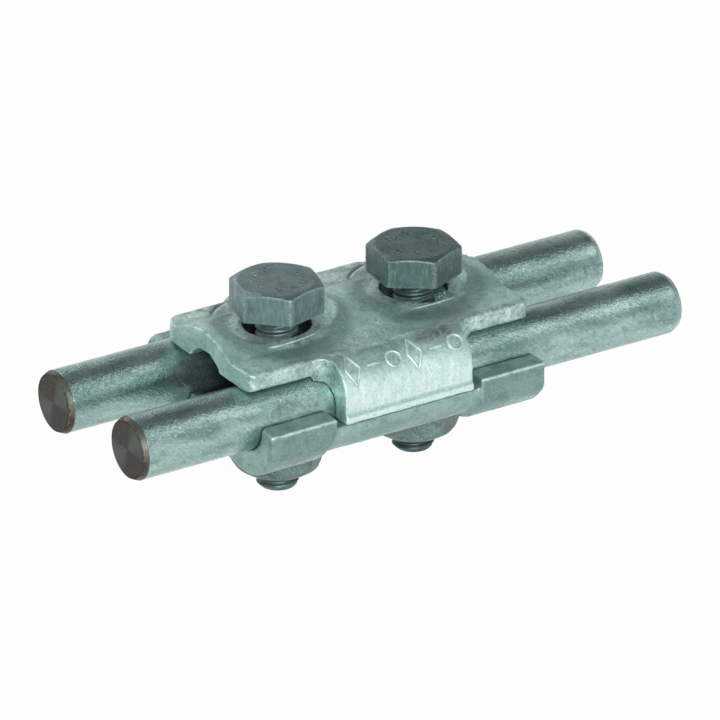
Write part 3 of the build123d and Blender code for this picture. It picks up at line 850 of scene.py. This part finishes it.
def bolt(side, skin, thread, marks, finish):
    """A hexagon head with worn edges over a threaded shank."""
    form = merged_copy(side + "_bolt")
    under = HEAD_TOP - HEAD_HEIGHT + 0.02 * MM
    cut = bmesh.ops.bisect_plane(
        form, geom=form.verts[:] + form.edges[:] + form.faces[:],
        plane_co=(0, 0, under), plane_no=(0, 0, 1), clear_inner=True,
    )
    rim = [item for item in cut["geom_cut"] if isinstance(item, bmesh.types.BMEdge)]
    bmesh.ops.holes_fill(form, edges=rim)
    for vertex in form.verts:
        if vertex.co.z > HEAD_TOP - CROWN_FALL:
            vertex.co.z = HEAD_TOP - CROWN_WEAR * (HEAD_TOP - vertex.co.z)
    values = {
        "Lump Height": 0.05 * MM, "Lump Size": 3 * MM, "Grain Height": 0.015 * MM, "Grain Size": 0.8 * MM,
        "Seed": SEEDS[side], "Finish": finish,
    }
    head = remeshed(side + "_head", form, HEX_VOXEL, skin, values, 4)
    shank = new_piece(side + "_shank")
    grow(shank, thread, {
        "Radius": THREAD_R, "Neck": THREAD_NECK, "Grip Start": NUT_FOOT, "Grip End": NUT_TOP,
        "Pitch": THREAD_PITCH, "Depth": THREAD_DEPTH, "Length": under + MM, "End Chamfer": END_CHAMFER,
        "Axis X": BOLT_X[side], "Finish": finish,
    })
    ring = new_piece(side + "_ring")
    grow(ring, marks, {
        "Count": 9.0, "Ring Radius": HEAD_RING_R, "Half Width": 0.52 * MM, "Half Height": 0.8 * MM,
        "Stroke": 0.16 * MM, "Axis X": BOLT_X[side], "Top Z": HEAD_TOP - 0.03 * MM, "Finish": finish,
    })
    return joined(side + "_threaded_bolt", [head, settle(shank), settle(ring)])


def nut(side, skin, finish):
    """A hexagon nut with a softly rounded lower end."""
    values = {
        "Lump Height": 0.05 * MM, "Lump Size": 3 * MM, "Grain Height": 0.02 * MM, "Grain Size": 0.8 * MM,
        "Seed": SEEDS[side] + 1.0, "Finish": finish,
    }
    return remeshed(side + "_hexagon_nut", merged_copy(side + "_nut"), HEX_VOXEL, skin, values, 4)


def conductor(which, tree, finish, end_finish):
    """A sample bar with bevelled ends."""
    low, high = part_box(which + "_conductor")
    centre = middle(which + "_conductor")
    piece = new_piece(which + "_bar")
    grow(piece, tree, {
        "Radius": (high[2] - low[2]) / 2 - 0.01 * MM, "Length": high[0] - low[0], "Step": ROD_STEP,
        "Chamfer": ROD_CHAMFER, "Bevel": ROD_BEVEL, "Lump Height": 0.1 * MM, "Lump Size": 3.5 * MM,
        "Start X": low[0], "Axis Y": centre.y, "Axis Z": centre.z, "Seed": SEEDS[which],
        "Finish": finish, "End Finish": end_finish,
    })
    return settle(piece)


# ------------------------------------------------------------------ build
def dress(piece, body, node):
    """Rides a finished piece on its body in place of its CAD node."""
    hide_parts(node)
    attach(piece, body)


skin = skin_tree()
thread = thread_tree()
bar = bar_tree()
shoulder_marks = shoulder_marks_tree()
head_marks = head_marks_tree()
cap_finish = cast_zinc("cap_zinc", CAP_TONES, True)
tray_finish = cast_zinc("tray_zinc", TRAY_TONES, False)
rubbed_finish = satin_zinc("rubbed_zinc", RUBBED_TONES)
bolt_finish = {
    "left": satin_zinc("left_bolt_zinc", LEFT_BOLT_TONES, BOLT_X["left"]),
    "right": satin_zinc("right_bolt_zinc", RIGHT_BOLT_TONES, BOLT_X["right"]),
}
nut_finish = cast_zinc("nut_zinc", NUT_TONES, False)
bar_finish = zinc_bar()
end_finish = cut_steel()

dress(tray(skin, tray_finish), "lower_clamp", "lower_clamp")
dress(
    cap(skin, shoulder_marks, lip_tree(), cap_finish, rubbed_finish),
    "upper_clamp", "upper_clamp",
)
for side in BOLT_X:
    piece = bolt(side, skin, thread, head_marks, bolt_finish[side])
    dress(piece, side + "_bolt", side + "_bolt")
    dress(nut(side, skin, nut_finish), side + "_nut", side + "_nut")
for which in ("front", "rear"):
    node = which + "_conductor"
    dress(conductor(which, bar, bar_finish, end_finish), node, node)


# ------------------------------------------------------------------ stage, light and camera
def floor():
    """A plain pale floor that keeps a faint shadow."""
    form = bmesh.new()
    bmesh.ops.create_grid(form, x_segments=1, y_segments=1, size=4.0)
    piece = new_piece("floor", into_mesh(form, "floor"))
    material = bpy.data.materials.new("pale_floor")
    material.use_nodes = True
    tree = material.node_tree
    tree.nodes.clear()
    matt = put(tree, "ShaderNodeBsdfDiffuse", {"Color": rgb(0.8, 0.8, 0.8)}).outputs[0]
    glow = put(tree, "ShaderNodeEmission", {"Color": rgb(1, 1, 1), "Strength": 1.0}).outputs[0]
    path = put(tree, "ShaderNodeLightPath").outputs
    seen = sum_of(tree, "ADD", path["Is Camera Ray"], path["Is Glossy Ray"])
    seen = sum_of(tree, "ADD", seen, path["Is Transmission Ray"])
    share = sum_of(tree, "MULTIPLY", sum_of(tree, "MINIMUM", seen, 1.0), 0.965)
    mix = put(tree, "ShaderNodeMixShader", {0: share, 1: matt, 2: glow}).outputs[0]
    put(tree, "ShaderNodeOutputMaterial", {"Surface": mix})
    piece.data.materials.append(material)


def soft_lamp(name, place, size, power):
    """A square area lamp aimed at the clamp."""
    lamp = bpy.data.lights.new(name, "AREA")
    lamp.size = size
    lamp.energy = power
    holder = bpy.data.objects.new(name, lamp)
    holder.location = place
    aim = Vector((0, 0, AXIS_Z)) - Vector(place)
    holder.rotation_euler = aim.to_track_quat("-Z", "Y").to_euler()
    bpy.context.scene.collection.objects.link(holder)


def sky(low, high):
    """A pale surround, brighter towards the horizon than overhead, and dimmer to the left."""
    world = bpy.data.worlds.new("pale_surround")
    world.use_nodes = True
    tree = world.node_tree
    tree.nodes.clear()
    way = put(tree, "ShaderNodeTexCoord").outputs["Object"]
    split = put(tree, "ShaderNodeSeparateXYZ", {0: way})
    strength = remap(tree, split.outputs[2], 0.15, 0.75, low, high)
    strength = both(tree, strength, remap(tree, split.outputs[0], -0.9, -0.3, 0.5, 1.0))
    glow = put(tree, "ShaderNodeBackground", {"Color": rgb(1, 1, 1), "Strength": strength}).outputs[0]
    put(tree, "ShaderNodeOutputWorld", {"Surface": glow})
    bpy.context.scene.world = world


def camera():
    """A long lens from the front left, looking down on the clamp."""
    azimuth, elevation, distance = math.radians(-32.983), math.radians(24.977), 1.0225
    target = Vector((2.637 * MM, 0, AXIS_Z - 1.289 * MM))
    back = Vector((
        math.sin(azimuth) * math.cos(elevation),
        -math.cos(azimuth) * math.cos(elevation),
        math.sin(elevation),
    ))
    lens = bpy.data.cameras.new("camera")
    lens.sensor_width = 36.0
    lens.lens = 331.2
    lens.clip_start = 0.05
    holder = bpy.data.objects.new("camera", lens)
    holder.location = target + back * distance
    holder.rotation_euler = back.to_track_quat("Z", "Y").to_euler()
    bpy.context.scene.collection.objects.link(holder)
    bpy.context.scene.camera = holder


floor()
soft_lamp("low_front_lamp", (-0.40, -1.29, 0.30), 0.7, 8.5)
soft_lamp("high_front_lamp", (-0.56, -1.04, 0.66), 0.3, 8.5)
soft_lamp("left_lamp", (-1.0, 0.1, 1.0), 0.7, 4.5)
soft_lamp("right_lamp", (0.7, -0.7, 1.0), 0.7, 2.2)
soft_lamp("rear_lamp", (0.0, 1.07, 0.9), 0.8, 5.4)
sky(0.8, 0.08)
camera()
bpy.context.scene.view_settings.view_transform = "Standard"
